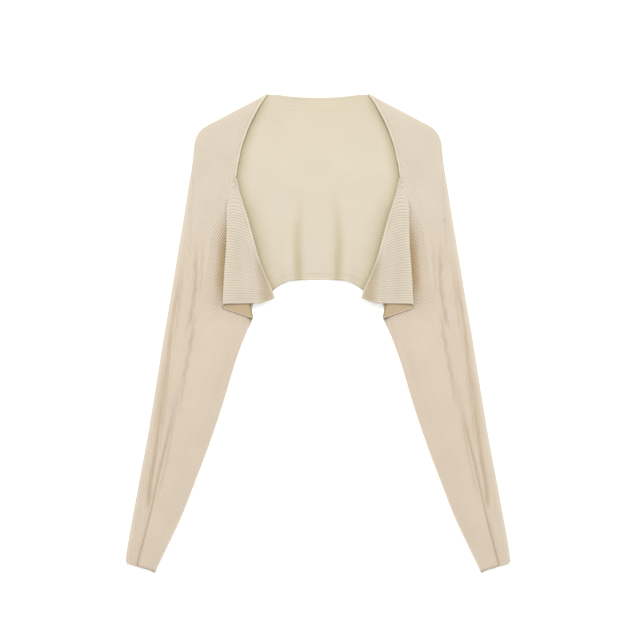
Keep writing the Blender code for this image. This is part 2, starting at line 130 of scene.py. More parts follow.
# The groove of the overarm seam, and the depths where it starts and where it darkens
SEAM_DEPTH, SEAM_HALF_WIDTH = 0.9, 1.5
SEAM_SHADE, SEAM_SHADE_RISE, SHADE_HALF_WIDTH = 0.45, 0.35, 1.3
SEAM_STARTS, SEAM_DARKENS = (450.0, 520.0), (590.0, 635.0)

# The yarn's tone: how fine its clouds, its yarn and its fibres are, and the share of the yarn
CLOUD_SCALE, YARN_SCALE, FIBRE_SCALE = 22.0, 480.0, 2600.0
YARN_SHARE = 0.9


def ease(low: float, high: float, values: Array | float) -> Array:
    """A smooth step from 0 at low to 1 at high, which may be below low."""
    t = np.clip((np.asarray(values, float) - low) / (high - low), 0, 1)
    return t * t * (3 - 2 * t)


def within(band: Band, values: Array) -> Array:
    """A smooth step up over the band's first two values, and down over its last two."""
    starts, full, fades, ends = band
    return ease(starts, full, values) * ease(ends, fades, values)


def bump(distance: Array, middle: float, half_width: float) -> Array:
    """A round hump of 1 at the middle distance."""
    return np.exp(-(((distance - middle) / half_width) ** 2))


class PlanLine:
    """A smooth plan line through a row of points, read by the share of its length."""

    STEPS = 6
    CHUNK = 4096

    def __init__(self, *rows: Table) -> None:
        """Joins rows of points end to end.

        Args:
            rows: the rows, each smoothed by itself.
        """
        runs = [self.smooth(np.array(row, float)) for row in rows]
        self.points = np.vstack([runs[0]] + [run[1:] for run in runs[1:]])
        self.walked = self.distances(self.points)
        self.length = float(self.walked[-1])

    @staticmethod
    def distances(points: Array) -> Array:
        """How far along the line each of its points lies."""
        return np.concatenate([[0], np.linalg.norm(np.diff(points, axis=0), axis=1).cumsum()])

    @classmethod
    def smooth(cls, points: Array) -> Array:
        """Rounds a row of points with cubic spans, whose slopes follow their neighbours.

        Args:
            points: the points.

        Returns:
            A finer row of points through them.
        """
        if len(points) < 3:
            return points
        at = cls.distances(points)
        slopes = np.gradient(points, at, axis=0)
        found = [points[:1]]
        for i in range(len(points) - 1):
            gap = at[i + 1] - at[i]
            t = np.linspace(0, 1, cls.STEPS + 1)[1:, None]
            found.append(
                (2 * t**3 - 3 * t**2 + 1) * points[i]
                + (t**3 - 2 * t**2 + t) * gap * slopes[i]
                + (3 * t**2 - 2 * t**3) * points[i + 1]
                + (t**3 - t**2) * gap * slopes[i + 1]
            )
        return np.vstack(found)

    def at(self, shares: Array | float) -> Array:
        """The places at shares of the line's length."""
        where = np.asarray(shares, float) * self.length
        return np.stack([np.interp(where, self.walked, row) for row in self.points.T], axis=-1)

    def at_length(self, lengths: Array | float) -> Array:
        """The places at distances along the line."""
        return self.at(np.asarray(lengths, float) / self.length)

    def out_at(self, down: Array | float) -> Array:
        """How far out the line lies at a depth, for a line that only goes down."""
        return np.interp(down, self.points[:, 1], self.points[:, 0])

    def left_of(self, shares: Array) -> Array:
        """Looks square away from the line, to its left as it is walked.

        Args:
            shares: shares of the line's length.

        Returns:
            A unit vector for each.
        """
        step = 1 / self.length
        before, after = (np.clip(shares + move, 0, 1) for move in (-step, step))
        along = self.at(after) - self.at(before)
        along /= np.linalg.norm(along, axis=-1, keepdims=True)
        return np.stack([along[..., 1], -along[..., 0]], axis=-1)

    def nearest(self, places: Array) -> tuple[Array, Array]:
        """How far each place is from the line, and where on it the nearest point is.

        Args:
            places: places in (out, down).

        Returns:
            The distances, and the shares of the line's length.
        """
        flat = np.asarray(places, float).reshape(-1, 2)
        start, along = self.points[:-1], np.diff(self.points, axis=0)
        square = (along**2).sum(axis=1)
        away, share = np.empty(len(flat)), np.empty(len(flat))
        for first in range(0, len(flat), self.CHUNK):
            part = slice(first, first + self.CHUNK)
            to_place = flat[part, None] - start
            t = np.clip((to_place * along).sum(axis=2) / square, 0, 1)
            found = np.linalg.norm(to_place - t[..., None] * along, axis=2)
            best = found.argmin(axis=1)
            rows = np.arange(len(best))
            away[part] = found[rows, best]
            share[part] = (self.walked[best] + t[rows, best] * np.sqrt(square[best])) / self.length
        shape = np.shape(places)[:-1]
        return away.reshape(shape), share.reshape(shape)


class Layer(Enum):
    """The layers of knit that have folds of their own."""

    SLEEVE = "sleeve"
    FLAP = "flap"
    BACK = "back"


class Side(Enum):
    """The two fronts, by the side of the picture that they lie on."""

    LEFT = -1
    RIGHT = 1


@dataclass(frozen=True)
class Fold:
    """A soft trough or ridge along a line.

    Attributes:
        rise: its height at the middle, below zero for a trough, in millimetres.
        half_width: how far it reaches to each side.
        points: the line along it.
        fade_in: the share of its length over which it starts.
        fade_out: the share of its length over which it ends.
        waves: how many times its height swells along it.
        sway: how far it sways to each side as it swells.
        shade: how much painted shade it gets, from 0 to 1.
    """

    SWELL = 0.15
    SWAY_RATES = (2 * math.pi * 1.7, 11)
    FINE_SWAY = 0.5

    rise: float
    half_width: float
    points: Table
    fade_in: float = 0.3
    fade_out: float = 0.0
    waves: float = 0.0
    sway: float = 0.0
    shade: float = 0.0

    def strength(self, places: Array) -> Array:
        """How strong the fold is.

        Args:
            places: places in (out, down).

        Returns:
            How much of it there is at each place, from 0 to 1.
        """
        line = PlanLine(self.points)
        away, share = line.nearest(places)
        if self.sway:
            beside = ((places - line.at(share)) * line.left_of(share)).sum(axis=-1)
            broad, fine = (rate * self.waves * share for rate in self.SWAY_RATES)
            swell = np.sin(broad) + self.FINE_SWAY * np.sin(fine + 1)
            away = np.copysign(away, beside) - self.sway * swell
        found = bump(away, 0, self.half_width) * ease(0, self.fade_in, share)
        if self.fade_out:
            found *= ease(1, 1 - self.fade_out, share)
        if self.waves:
            found *= 1 + self.SWELL * np.sin(2 * math.pi * self.waves * share)
        return found


FOLDS: dict[Layer, tuple[Fold, ...]] = {
    # The sleeves' creases and ridges, most with painted shade along their troughs
    Layer.SLEEVE: (
        Fold(-1.8, 3.2, ((184, 205), (183.5, 217), (183.3, 247), (183.4, 277), (186.5, 307),
                         (192, 337), (197, 360)),
             fade_in=0.4, fade_out=0.2, waves=4, sway=0.7, shade=0.38),
        Fold(-1, 2.4, ((170, 200), (173, 235), (176, 290), (182, 330)),
             fade_in=0.4, fade_out=0.4, waves=3, sway=0.7, shade=0.16),
        Fold(-1.2, 2.4, ((198, 225), (201, 250), (206, 290), (211, 335), (219, 390)),
             fade_in=0.4, fade_out=0.4, waves=3, sway=0.8, shade=0.24),
        Fold(-1, 2.2, ((209, 300), (215, 335), (221, 370), (227, 429), (236, 521), (242, 554)),
             fade_out=0.3, waves=7, sway=0.8, shade=0.22),
        Fold(-1.7, 2.6, ((204.3, 250), (208.2, 277), (213.3, 307), (218.3, 337), (221.9, 367),
                         (225.1, 397), (229.1, 427), (234, 457)),
             fade_in=0.25, waves=4, sway=0.5, shade=0.42),
        Fold(-2.4, 3.4, ((234, 457), (237.3, 487), (241.7, 517), (245.5, 547), (249.2, 567),
                         (252.6, 590), (254.4, 626)),
             fade_in=0.02, fade_out=0.12, shade=0.50),
        Fold(-0.4, 6.5, ((222, 370), (224.3, 390), (231.1, 440), (239.5, 500), (245.7, 545)),
             fade_in=0.4, fade_out=0.4, shade=0.32),
        Fold(-0.6, 2.2, ((211, 470), (215.8, 487), (221.5, 517), (227, 547), (236, 585),
                         (243, 607)),
             fade_in=0.2, fade_out=0.2, shade=0.26),
        Fold(1.8, 3.8, ((211, 390), (220.5, 455), (230.5, 515), (240.5, 555), (250.5, 605)),
             fade_out=0.1),
        Fold(-1.5, 4, ((181.5, 319.5), (204.5, 430), (234, 547.5), (271.5, 703.5)),
             fade_in=0.5, shade=0.12),
        Fold(-1.4, 2.6, ((180, 318), (185, 337), (189.5, 367), (195.4, 397), (201, 427),
                         (205.8, 457), (213, 480)),
             fade_in=0.2, fade_out=0.3, waves=4, sway=0.7, shade=0.30),
        Fold(0.9, 3, ((170, 318), (178, 345), (185.5, 372), (192, 402), (200, 442)),
             fade_out=0.4, waves=3, sway=0.6),
        Fold(1.6, 9, ((152, 330), (172, 420), (204, 530), (236, 640)), fade_out=0.3),
    ),
    Layer.FLAP: (
        Fold(3.6, 7, ((104, 196), (99, 230), (95, 262), (91.5, 312))),
        Fold(-1, 8, ((122, 190), (121, 250), (118, 300)), shade=0.10),
        # Painted shade over the flap's turned-away lower corner
        Fold(-0.6, 10, ((88, 228), (82, 262), (78, 286), (76, 306)), fade_in=0.4, shade=0.60),
    ),
    Layer.BACK: (
        Fold(4.5, 9, ((46, 150), (45, 210), (43, 282))),
        # A trough of painted shade only, with no rise
        Fold(0, 6.2, ((24, 118), (27, 169), (29.5, 191), (31, 214), (30.3, 240), (28.5, 282)),
             fade_in=0.9, shade=0.74),
        Fold(1.6, 10, ((92, 190), (86, 240), (74, 290))),
    ),
}


@dataclass(frozen=True)
class Lay:
    """How the knit lies: the height and the shade of each layer at any place.

    Sizes are in millimetres. A pair is where something starts and where it is full, by the
    distance from a line or by the depth, and four numbers say where it ends as well. The pairs
    whose names end in _at are a middle and a half width.
    """

    # How far the neck edge stands up, and over what distance that fades
    neck_lift: float = 2.0
    neck_fade: float = 22.0
    neck_lift_downs: Span = (0, 30)
    neck_lift_from_fold: Span = (0, 10)

    # How far the sleeve bulges, and how far from the underarm seam it comes down to it
    puff: float = 2.6
    puff_downs: Span = (120, 175)
    puff_from_fold: Span = (0, 26)
    puff_from_underarm: Span = (0, 22)
    puff_from_pleat: Span = (2, 24)
    puff_below_pleat: Span = (318, 350)
    sink_fade: float = 5.0
    folds_from_fold: Span = (0, 14)
    back_folds_downs: Span = (140, 282)

    # How far the flap bends down at its free edge, and over what distance
    flap_drop: float = 2.4
    flap_bend: float = 12.0

    # A free edge: its roll, the groove beside it, and the painted highlight on its outermost loops
    roll: float = 0.7
    roll_at: Span = (1.6, 1.6)
    groove: float = 0.5
    groove_at: Span = (4.4, 1.1)
    rim_light: float = 0.8
    rim_at: Span = (0.6, 1)

    # The small unevenness: its height, its broad and fine waves, and the share of the fine ones
    unevenness: float = 0.35
    uneven_from_underarm: Span = (0, 12)
    fine_unevenness: float = 0.6
    broad_waves: tuple[float, ...] = (11, 41, 19, 31)
    fine_waves: tuple[float, ...] = (5.3, 27, 9.7, 37)
    broad_bend: float = 1.3

    # Painted shadow on the back: how dark it is close to the fronts, further out beside them, and
    # painted shade at its neck edge
    edge_shadow: float = 0.70
    shadow_reach: float = 9.5
    shadow_downs: Span = (-5, 12)
    wide_shadow: float = 0.75
    wide_reach: float = 17.0
    wide_downs: Band = (100, 180, 230, 310)
    top_shade: float = 0.10
    top_shade_downs: Span = (90, 20)

    def folds(self, layer: Layer, places: Array) -> tuple[Array, Array]:
        """Adds up the folds of a layer.

        Args:
            layer: the layer.
            places: places in (out, down).

        Returns:
            Their rise and their shade at each place.
        """
        rise = np.zeros(np.shape(places)[:-1])
        shade = np.zeros_like(rise)
        for fold in FOLDS[layer]:
            strength = fold.strength(places)
            rise += fold.rise * strength
            shade = np.maximum(shade, fold.shade * strength)
        return rise, shade

    def self_edge(self, away: Array) -> Array:
        """The narrow roll of knit along a free edge and the groove beside it."""
        return self.roll * bump(away, *self.roll_at) - self.groove * bump(away, *self.groove_at)

    def rim_highlight(self, away: Array | float) -> Array:
        """The painted highlight on the outermost loops along a free edge, as a negative shade."""
        return -self.rim_light * bump(away, *self.rim_at)

    def uneven(self, places: Array) -> Array:
        """The small unevenness of knit that isn't pressed.

        Args:
            places: places in (out, down).

        Returns:
            The rise at each place.
        """
        out, down = places[..., 0], places[..., 1]
        a, b, c, d = self.broad_waves
        waves = np.sin(out / a + self.broad_bend * np.sin(down / b)) * np.sin(down / c + out / d)
        a, b, c, d = self.fine_waves
        waves += self.fine_unevenness * np.sin(out / a + down / b) * np.sin(down / c - out / d)
        return self.unevenness * waves

    def sleeve(self, places: Array) -> tuple[Array, Array]:
        """How the upper layer of the sleeves and yokes lies.

        Args:
            places: places in (out, down).

        Returns:
            The height and the shade of its middle.
        """
        out, down = places[..., 0], places[..., 1]
        from_fold = LINES.fold.nearest(places)[0]
        from_underarm = LINES.underarm.nearest(places)[0]
        from_neck = LINES.neck_edge.nearest(places)[0]
        beside_pleat = out - LINES.pleat_edge.out_at(down)
        puff = ease(*self.puff_from_pleat, beside_pleat)
        puff = self.puff * np.maximum(puff, ease(*self.puff_below_pleat, down))
        puff *= ease(*self.puff_downs, down) * ease(*self.puff_from_fold, from_fold)
        puff *= ease(*self.puff_from_underarm, from_underarm)
        lift = self.neck_lift * np.exp(-from_neck / self.neck_fade)
        lift *= ease(*self.neck_lift_downs, down)
        folds, shade = self.folds(Layer.SLEEVE, places)
        inside = ease(*self.folds_from_fold, from_fold)
        sink = (SLEEVE_MID - UNDERARM_MID) * np.exp(-from_underarm / self.sink_fade)
        height = SLEEVE_MID + np.maximum(puff + folds * inside, 0) - sink
        height += lift * ease(*self.neck_lift_from_fold, from_fold)
        height += self.uneven(places) * inside * ease(*self.uneven_from_underarm, from_underarm)
        return height, shade

    def back(self, places: Array) -> tuple[Array, Array]:
        """How the layer on the floor lies.

        Args:
            places: places in (out, down).

        Returns:
            The height and the shade of its middle.
        """
        down = places[..., 1]
        folds, shade = self.folds(Layer.BACK, places)
        rise = np.maximum(folds, 0) * ease(*self.back_folds_downs, down)
        from_front = LINES.front_edge.nearest(places)[0]
        from_neck = LINES.neck_edge.nearest(places)[0]
        # Painted shadow from the fronts and the neck edge, and painted shade at the top
        wide = self.wide_shadow * bump(from_front, 0, self.wide_reach)
        wide *= within(self.wide_downs, down)
        beside = np.maximum(wide, bump(np.minimum(from_neck, from_front), 0, self.shadow_reach))
        shade = np.maximum(shade, self.edge_shadow * beside * ease(*self.shadow_downs, down))
        shade = np.maximum(shade, self.top_shade * ease(*self.top_shade_downs, down))
        return BACK_MID + rise, shade


class Lines:
    """Every plan line of one half, made once."""

    back_neck = PlanLine(BACK_NECK)
    fold = PlanLine(FOLD_LINE)
    neck_edge = PlanLine(NECK_EDGE)
    front_edge = PlanLine(FRONT_EDGE)
    flap_hem = PlanLine(FLAP_HEM)
    pleat_edge = PlanLine(PLEAT_EDGE)
    pleat_inner = PlanLine(PLEAT_INNER)
    overarm_seam = PlanLine(OVERARM_SEAM)
    underarm = PlanLine(UNDERARM)
    back_hem = PlanLine(BACK_HEM)


LINES = Lines()
LAY = Lay()


@dataclass(frozen=True)
class Ribs:
    """The relief of the rib knit, rounded ribs with narrow grooves between them."""

    height: float = 0.55
    fullness: float = 0.8
    level: float = 0.6

    def rise(self, count: Array) -> Array:
        """The rise of the knit's middle, by how many ribs lie before a place."""
        return self.height * (np.abs(np.sin(math.pi * count)) ** self.fullness - self.level)


def new_object(name: str, data: bpy.types.ID) -> Piece:
    """Adds an object to the scene.

    Args:
        name: its name.
        data: its mesh, lamp or camera.

    Returns:
        The object.
    """
    made = bpy.data.objects.new(name, data)
    bpy.context.scene.collection.objects.link(made)
    return made


def new_material(name: str, **values: object) -> tuple[bpy.types.Material, bpy.types.Node]:
    """Makes a material.

    Args:
        name: its name.
        values: what its shader's inputs get, with _ for each space in their names.

    Returns:
        The material and its shader.
    """
    made = bpy.data.materials.new(name)
    made.use_nodes = True
    shader = made.node_tree.nodes["Principled BSDF"]
    for key, value in values.items():
        shader.inputs[key.replace("_", " ")].default_value = value
    return made, shader


def normals_of(grid: Array) -> Array:
    """Unit normals of a grid of (out, down, height), towards the right side of the knit."""
    normal = np.cross(np.gradient(grid, axis=1), np.gradient(grid, axis=0))
    return normal / np.maximum(np.linalg.norm(normal, axis=-1, keepdims=True), 1e-9)


class Sheet:
    """A sheet of knit in the making: its points, their place in the knit, and its faces."""

    def __init__(self) -> None:
        """Starts with no points."""
        self.points: list[Array] = []
        self.knit: list[Array] = []
        self.tone: list[Array] = []
        self.faces: list[tuple[int, ...]] = []
        self.count = 0

    def add(self, points: Array, knit: Array, tone: Array) -> Array:
        """Adds points.

        Args:
            points: their places and heights, of any shape before the last axis.
            knit: their places in the knit.
            tone: their four tones.

        Returns:
            Their numbers, in the same shape.
        """
        shape = points.shape[:-1]
        made = self.count + np.arange(int(np.prod(shape)))
        self.points.append(points.reshape(-1, 3))
        self.knit.append(knit.reshape(-1, 2))
        self.tone.append(tone.reshape(-1, 4))
        self.count += len(made)
        return made.reshape(shape)

    def grid(self, numbers: Array) -> None:
        """Adds four-sided faces over a grid of points.

        Args:
            numbers: the points' numbers, in rows.
        """
        a, b = numbers[:-1, :-1].ravel(), numbers[1:, :-1].ravel()
        c, d = numbers[1:, 1:].ravel(), numbers[:-1, 1:].ravel()
        self.faces += list(zip(a.tolist(), b.tolist(), c.tolist(), d.tolist()))

    def zip(self, first: Array, at_first: Array, second: Array, at_second: Array) -> None:
        """Faces between two lines of points that are unlike in number.

        Args:
            first: the numbers of the first line's points.
            at_first: where each of them lies, growing along the line.
            second: the numbers of the second line's points.
            at_second: where each of those lies, in the same measure.
        """
        i = j = 0
        while i < len(first) - 1 or j < len(second) - 1:
            next_i = at_first[i + 1] if i < len(first) - 1 else math.inf
            next_j = at_second[j + 1] if j < len(second) - 1 else math.inf
            if abs(next_i - next_j) < 1e-6:
                self.faces.append((first[i], first[i + 1], second[j + 1], second[j]))
                i, j = i + 1, j + 1
            elif next_i < next_j:
                self.faces.append((first[i], first[i + 1], second[j]))
                i += 1
            else:
                self.faces.append((first[i], second[j + 1], second[j]))
                j += 1

    def make(self, name: str, sides: Sequence[int], finish: KnitFinish) -> Piece:
        """Makes the object, mirrored to each side and joined along the centre line.

        Args:
            name: the object's name.
            sides: -1 for the left half, 1 for the right half, or both.
            finish: the knit's finish.

        Returns:
            The finished piece, a thin closed wall.
        """
        plan, knit, tone = (np.vstack(rows) for rows in (self.points, self.knit, self.tone))
        places, faces = [], []
        for side in sides:
            up = LENGTH / 2 - NECK_RISE - plan[:, 1]
            half = np.column_stack([side * plan[:, 0] * MM, up * MM, plan[:, 2] * MM])
            first = len(places) * len(half)
            places.append(half)
            faces += [tuple(int(n) + first for n in face[::side]) for face in self.faces]
        mesh = bpy.data.meshes.new(name)
        mesh.from_pydata(np.vstack(places).tolist(), [], faces)
        corners = np.empty(len(mesh.loops), np.int32)
        mesh.loops.foreach_get("vertex_index", corners)
        uv = mesh.uv_layers.new(name="knit")
        knit = np.tile(knit, (len(sides), 1))[corners]
        uv.data.foreach_set("uv", knit.astype(np.float32).ravel())
        # A point attribute of painted shade and highlight, the sleeve's and inner side's tones,
        # and the ribs' contrast
        dye = mesh.attributes.new("dye", "FLOAT_COLOR", "POINT")
        dye.data.foreach_set("color", np.tile(tone, (len(sides), 1)).astype(np.float32).ravel())
        self.join(mesh)
        mesh.materials.append(finish.material())
        piece = new_object(name, mesh)
        thicken(piece)
        return piece

    @staticmethod
    def join(mesh: bpy.types.Mesh) -> None:
        """Merges points at one place and turns all the faces the same way.

        Args:
            mesh: the mesh.
        """
        work = bmesh.new()
        work.from_mesh(mesh)
        bmesh.ops.remove_doubles(work, verts=work.verts, dist=JOIN_WITHIN * MM)
        bmesh.ops.recalc_face_normals(work, faces=work.faces)
        work.to_mesh(mesh)
        work.free()


def thicken(piece: Piece) -> None:
    """Gives a sheet the wall of the cloth, and smooth shading.

    Args:
        piece: the sheet.
    """
    bpy.ops.object.select_all(action="DESELECT")
    piece.select_set(True)
    bpy.context.view_layer.objects.active = piece
    wall = piece.modifiers.new("wall", "SOLIDIFY")
    wall.thickness = WALL * MM
    wall.offset = 0
    wall.use_quality_normals = True
    bpy.ops.object.modifier_apply(modifier=wall.name)
    bpy.ops.object.shade_smooth()
    piece.select_set(False)


class NodeTree:
    """A short way to write node trees."""

    def __init__(self, tree: bpy.types.NodeTree) -> None:
        """Works in a tree that exists."""
        self.tree = tree

    def node(self, kind: str, inputs: dict[str | int, object] | None = None,
             **settings: object) -> bpy.types.Node:
        """Adds a node.

        Args:
            kind: the node's type.
            inputs: what its inputs get, by their names or numbers.
            settings: its other settings.

        Returns:
            The node.
        """
        made = self.tree.nodes.new(kind)
        for key, value in settings.items():
            setattr(made, key, value)
        for key, value in (inputs or {}).items():
            self.set(made.inputs[key], value)
        return made

    def set(self, socket: Socket, value: object) -> None:
        """Links a socket to another one, or gives it a plain value.

        Args:
            socket: the socket.
            value: the other socket, or the value.
        """
        if isinstance(value, Socket):
            self.tree.links.new(value, socket)
        else:
            socket.default_value = value

    def math(self, operation: str, *values: object, clamp: bool = False) -> Socket:
        """A sum of one to three values."""
        settings = {"operation": operation, "use_clamp": clamp}
        return self.node("ShaderNodeMath", dict(enumerate(values)), **settings).outputs[0]

    def mix(self, share: object, first: object, second: object, blend: str = "MIX") -> Socket:
        """A mix of two colours.

        Args:
            share: how much there is of the second one.
            first: a colour or a socket.
            second: the other colour.
            blend: the blend type.

        Returns:
            The mixed colour.
        """
        made = self.node("ShaderNodeMix", {"Factor": share}, data_type="RGBA", blend_type=blend)
        for name, value in (("A", first), ("B", second)):
            socket = next(s for s in made.inputs if s.name == name and s.type == "RGBA")
            self.set(socket, (*value, 1) if isinstance(value, tuple) else value)
        return next(s for s in made.outputs if s.type == "RGBA")

    def noise(self, where: object, scale: float, detail: float = 2.0) -> Socket:
        """Soft noise from 0 to 1."""
        inputs = {"Vector": where, "Scale": scale, "Detail": detail}
        return self.node("ShaderNodeTexNoise", inputs).outputs["Fac"]

    def times(self, colour: object, other: object) -> Socket:
        """One colour multiplied by another."""
        return self.mix(1, colour, other, "MULTIPLY")


def new_group(name: str, **sockets: tuple[str, str]) -> NodeTree:
    """A new node group.

    Args:
        name: the group's name.
        sockets: for each socket, INPUT or OUTPUT and its type.

    Returns:
        Its tree, empty but for the sockets.
    """
    group = bpy.data.node_groups.new(name, "ShaderNodeTree")
    for socket, (direction, kind) in sockets.items():
        group.interface.new_socket(socket, in_out=direction, socket_type="NodeSocket" + kind)
    return NodeTree(group)


def knit_group() -> bpy.types.NodeTree:
    """The stitches of the knit, drawn in the knit's own coordinates.

    Returns:
        A node group. It reads the knit's UV map, in millimetres along a rib and ribs across, and
        gives the stitches' height and a mask of the grooves between the ribs.
    """
    name = "knit_stitches"
    if name in bpy.data.node_groups:
        return bpy.data.node_groups[name]
    tree = new_group(name, Knit=("INPUT", "Vector"), Stitch=("INPUT", "Float"),
                     Height=("OUTPUT", "Float"), Groove=("OUTPUT", "Float"))
    given, made = tree.node("NodeGroupInput"), tree.node("NodeGroupOutput")
    split = tree.node("ShaderNodeSeparateXYZ", {0: given.outputs["Knit"]})
    across = tree.math("SUBTRACT", tree.math("FRACT", split.outputs["Y"]), 0.5)
    across = tree.math("ABSOLUTE", across)
    along = tree.math("DIVIDE", split.outputs["X"], given.outputs["Stitch"])
    slant = tree.math("MULTIPLY_ADD", across, STITCH_SLANT, along)
    loops = tree.math("SINE", tree.math("MULTIPLY", slant, 2 * math.pi))
    loops = tree.math("MULTIPLY_ADD", loops, 0.5, 0.5)
    middle = tree.math("MULTIPLY", tree.math("POWER", across, 2), 4)
    middle = tree.math("MULTIPLY", tree.math("SUBTRACT", 1, middle), 1 - LOOP_SHARE)
    tree.set(made.inputs["Height"], tree.math("MULTIPLY_ADD", loops, LOOP_SHARE, middle))
    groove = tree.math("MULTIPLY", across, GROOVE_SLOPE)
    tree.set(made.inputs["Groove"], tree.math("SUBTRACT", groove, GROOVE_START, clamp=True))
    return tree.tree


def yarn_group() -> bpy.types.NodeTree:
    """The uneven tone of the yarn.

    Returns:
        A node group. It reads the object's coordinates and gives a tone about 1 that changes
        slowly over the knit and a fibre height that changes from stitch to stitch.
    """
    name = "yarn_tone"
    if name in bpy.data.node_groups:
        return bpy.data.node_groups[name]
    tree = new_group(name, Place=("INPUT", "Vector"), Amount=("INPUT", "Float"),
                     Tone=("OUTPUT", "Float"), Fibre=("OUTPUT", "Float"))
    given, made = tree.node("NodeGroupInput"), tree.node("NodeGroupOutput")
    place = given.outputs["Place"]
    cloudy = tree.math("SUBTRACT", tree.noise(place, CLOUD_SCALE, 3), 0.5)
    fine = tree.math("SUBTRACT", tree.noise(place, YARN_SCALE), 0.5)
    both = tree.math("MULTIPLY_ADD", fine, YARN_SHARE, cloudy)
    tree.set(made.inputs["Tone"], tree.math("MULTIPLY_ADD", both, given.outputs["Amount"], 1))
    tree.set(made.inputs["Fibre"], tree.noise(place, FIBRE_SCALE))
    return tree.tree


@dataclass(frozen=True)
class KnitFinish:
    """A matt rib knit in one yarn, whose tone shifts a little over the garment.

    Tones from a point attribute pick the colour: red is painted shade, or a painted highlight
    where it is below zero, green the sleeve, blue the inner side, and alpha how plainly the
    ribs show, through their bump and the painted shade in their grooves.
    """

    name: str
    slot: str

    # The colours, and what multiplies them for painted shade in a deep fold, for a painted
    # highlight on a free edge and for painted shade between the ribs
    yoke: Colour = (0.505, 0.450, 0.366)
    sleeve: Colour = (0.523, 0.444, 0.355)
    inside: Colour = (0.514, 0.459, 0.366)
    fold: Colour = (0.70, 0.59, 0.40)
    inside_fold_shade: Colour = (0.73, 0.68, 0.48)
    rim_highlight: Colour = (1.22, 1.21, 1.15)
    groove: Colour = (0.46, 0.36, 0.22)

    # The stitches' bump and its depth in metres, the share of fibre, and a stitch's length in mm
    relief: float = 0.6
    depth: float = 0.4 * MM
    fibre: float = 0.25
    stitch: float = 1.7

    # How much the yarn's tone shifts, and the shader's surface
    tone_spread: float = 0.10
    roughness: float = 0.92
    specular: float = 0.25
    sheen: Span = (0.12, 0.5)

    def material(self) -> bpy.types.Material:
        """Makes the finish's material, the first time that it is asked for.

        Returns:
            The material.
        """
        if self.name in bpy.data.materials:
            return bpy.data.materials[self.name]
        weight, spread = self.sheen
        made, shader = new_material(
            self.name, Roughness=self.roughness, Specular_IOR_Level=self.specular,
            Sheen_Weight=weight, Sheen_Roughness=spread)
        tree = NodeTree(made.node_tree)
        uv = tree.node("ShaderNodeUVMap", uv_map="knit").outputs["UV"]
        place = tree.node("ShaderNodeTexCoord").outputs["Object"]
        knit = tree.node("ShaderNodeGroup", {"Knit": uv, "Stitch": self.stitch},
                         node_tree=knit_group())
        yarn = tree.node("ShaderNodeGroup", {"Place": place, "Amount": self.tone_spread},
                         node_tree=yarn_group())
        # Painted shade and highlight, the tones and the ribs' contrast, from the point attribute
        tones = tree.node("ShaderNodeAttribute", attribute_name="dye")
        contrast = tones.outputs["Alpha"]
        split = tree.node("ShaderNodeSeparateColor", {0: tones.outputs["Color"]})
        shade, sleeve, inside = (split.outputs[name] for name in ("Red", "Green", "Blue"))
        colour = tree.mix(sleeve, self.yoke, self.sleeve)
        colour = tree.mix(inside, colour, self.inside)
        # Painted shade in folds, hollows and the shadows beside edges, more olive on the inner
        # side
        fold = tree.mix(inside, self.fold, self.inside_fold_shade)
        colour = tree.mix(shade, colour, tree.times(colour, fold))
        # A painted highlight where the shade is below zero
        rim_highlight = tree.math("MULTIPLY", shade, -1, clamp=True)
        colour = tree.mix(rim_highlight, colour, tree.times(colour, self.rim_highlight))
        # Painted shade in the grooves between the ribs, as strong as the ribs' contrast
        groove = tree.math("MULTIPLY", knit.outputs["Groove"], contrast, clamp=True)
        colour = tree.mix(groove, colour, tree.times(colour, self.groove))
        scale = {0: colour, "Scale": yarn.outputs["Tone"]}
        toned = tree.node("ShaderNodeVectorMath", scale, operation="SCALE")
        tree.set(shader.inputs["Base Color"], toned.outputs[0])
        stitches = knit.outputs["Height"]
        height = tree.math("MULTIPLY_ADD", yarn.outputs["Fibre"], self.fibre, stitches)
        strength = tree.math("MULTIPLY", contrast, self.relief, clamp=True)
        inputs = {"Strength": strength, "Distance": self.depth, "Height": height}
        bumps = tree.node("ShaderNodeBump", inputs)
        tree.set(shader.inputs["Normal"], bumps.outputs["Normal"])
        return made


BACK_KNIT = KnitFinish("knit of the back", "knit_back")
FRONT_KNIT = KnitFinish("knit of the fronts", "knit_front")


def dress(piece: Piece, node: str) -> None:
    """Ties a cloth piece to the frame and hides the solid that it stands for.

    Args:
        piece: the cloth piece.
        node: the solid that it stands for.
    """
    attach(piece, BODY)
    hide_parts(node)
    LOG.info("%s: %d faces", piece.name, len(piece.data.polygons))


def widening(count: int, steepness: float) -> Array:
    """Shares from 0 to 1 whose steps grow on the way."""
    t = np.linspace(0, 1, count)
    return np.expm1(steepness * t) / math.expm1(steepness)


def along_table(table: Table, values: Array) -> Array:
    """Reads a table at many values, as a smooth curve through its points."""
    at, found = PlanLine.smooth(np.array(table, float)).T
    return np.interp(values, at, found)


def leaning_ribs(places: Array, leans: Table, pitch: float) -> Array:
    """How many ribs lie before each place, for ribs that lean by a table.

    Args:
        places: places in (out, down).
        leans: rows of depth and how far out a rib moves for each step down.
        pitch: how far apart the ribs are on a level line.

    Returns:
        The count at each place.
    """
    downs = np.linspace(leans[0][0], leans[-1][0], 200)
    at = np.interp(downs, *np.transpose(leans))
    moved = np.concatenate([[0], ((at[1:] + at[:-1]) / 2 * np.diff(downs)).cumsum()])
    return (places[..., 0] - np.interp(places[..., 1], downs, moved)) / pitch


